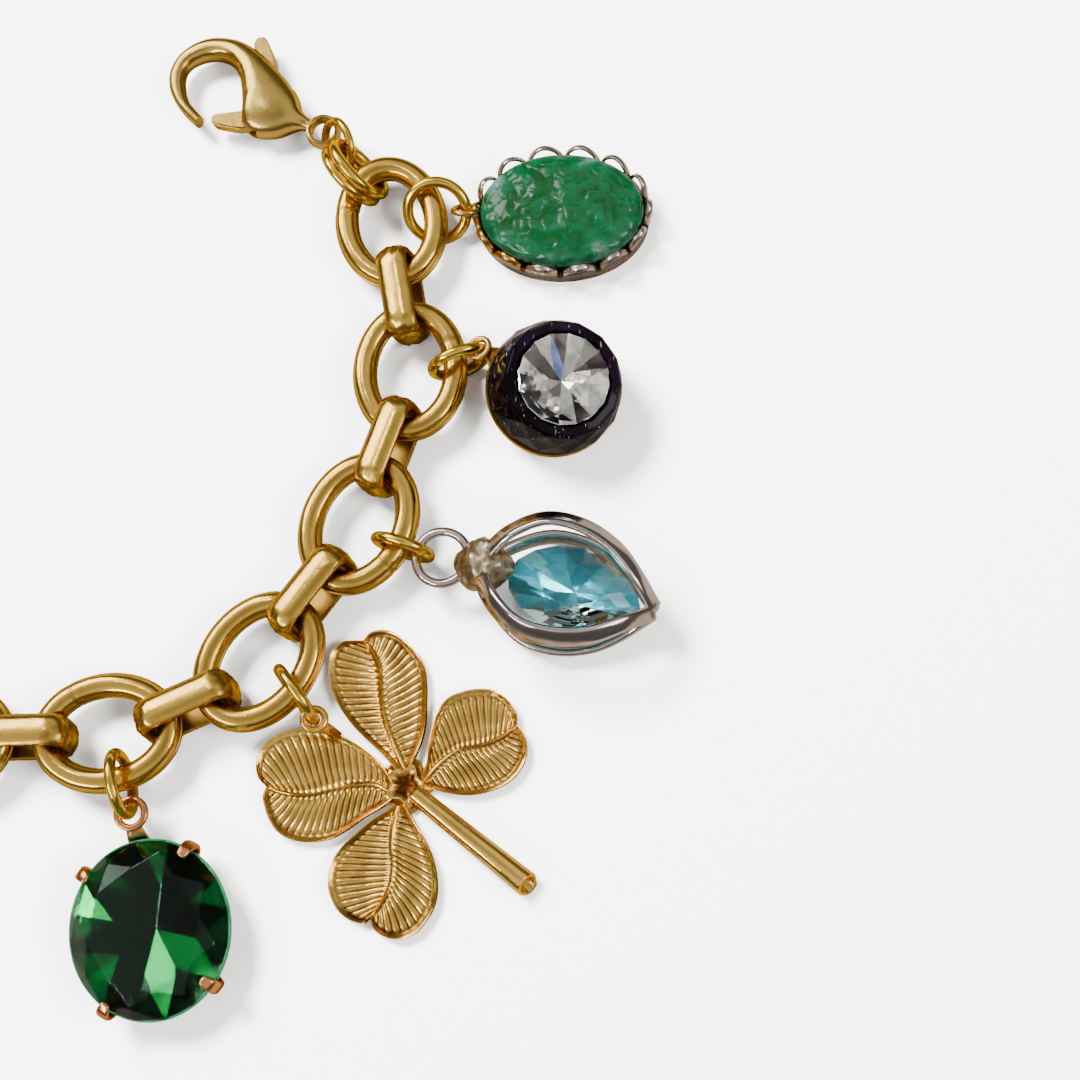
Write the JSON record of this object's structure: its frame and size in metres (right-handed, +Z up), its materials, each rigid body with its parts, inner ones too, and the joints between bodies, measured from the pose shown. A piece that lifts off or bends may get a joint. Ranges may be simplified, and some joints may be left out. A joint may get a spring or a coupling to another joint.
{
  "type": "charm bracelet",
  "caption": "Brass chain bracelet of oval links and strip connectors with a lobster clasp and jewelled and clover charms, lying open.",
  "frame": {"origin": "centre of the whole bracelet's bounding box, on the surface it lies on", "axes": "+Z up off the surface, +X towards the charms, +Y towards the clasp"},
  "size_m": [0.1038, 0.0906, 0.0087],
  "materials": {
    "chain_brass": "polished, worn, with brown tarnish in the hollows",
    "ring_brass": "polished round wire",
    "clasp_brass": "cast, satin, lightly worn",
    "jade_silver": "silver plate worn to rose brown, polished",
    "jade_glass": "moulded, lumpy, glossy, cloudy green",
    "button_brass": "satin back plate",
    "black_glass": "faceted, glossy, opaque black",
    "clear_glass": "cut and foiled, brilliant",
    "cage_silver": "polished silver tone with dull solder",
    "teal_glass": "cut, clear blue green",
    "clover_brass": "stamped, orange gold, darker in the grooves",
    "copper_gold": "copper gold wire and claws",
    "green_glass": "cut, foiled behind, deep green"
  },
  "bodies": {
    "chain": {"oval_link_1": "chain_brass", "oval_link_2": "chain_brass", "oval_link_3": "chain_brass", "oval_link_4": "chain_brass", "oval_link_5": "chain_brass", "oval_link_6": "chain_brass", "oval_link_7": "chain_brass", "oval_link_8": "chain_brass", "oval_link_9": "chain_brass", "oval_link_10": "chain_brass", "oval_link_11": "chain_brass", "oval_link_12": "chain_brass", "connector_1": "chain_brass", "connector_2": "chain_brass", "connector_3": "chain_brass", "connector_4": "chain_brass", "connector_5": "chain_brass", "connector_6": "chain_brass", "connector_7": "chain_brass", "connector_8": "chain_brass", "connector_9": "chain_brass", "connector_10": "chain_brass", "connector_11": "chain_brass", "clasp_ring": "ring_brass", "link_ring_1": "ring_brass", "link_ring_2": "ring_brass", "jade_jump_ring": "ring_brass", "button_jump_ring": "ring_brass", "cage_jump_ring": "ring_brass", "clover_jump_ring": "ring_brass", "emerald_jump_ring": "ring_brass", "clasp_body": "clasp_brass", "jade_setting": "jade_silver", "jade_stone": "jade_glass", "button_back": "button_brass", "button_glass": "black_glass", "rhinestone": "clear_glass", "cage_setting": "cage_silver", "teal_stone": "teal_glass", "clover": "clover_brass", "emerald_setting": "copper_gold", "emerald_stone": "green_glass"},
    "lever": {"clasp_lever": "clasp_brass"}
  },
  "joints": [
    {"name": "lever_hinge", "type": "hinge", "parent": "chain", "child": "lever", "pos_m": [0.01689, 0.03734, 0.00195], "axis": [0, 0, -1], "range_deg": [0, 25], "stiffness_Nm_per_rad": 0.01}
  ]
}
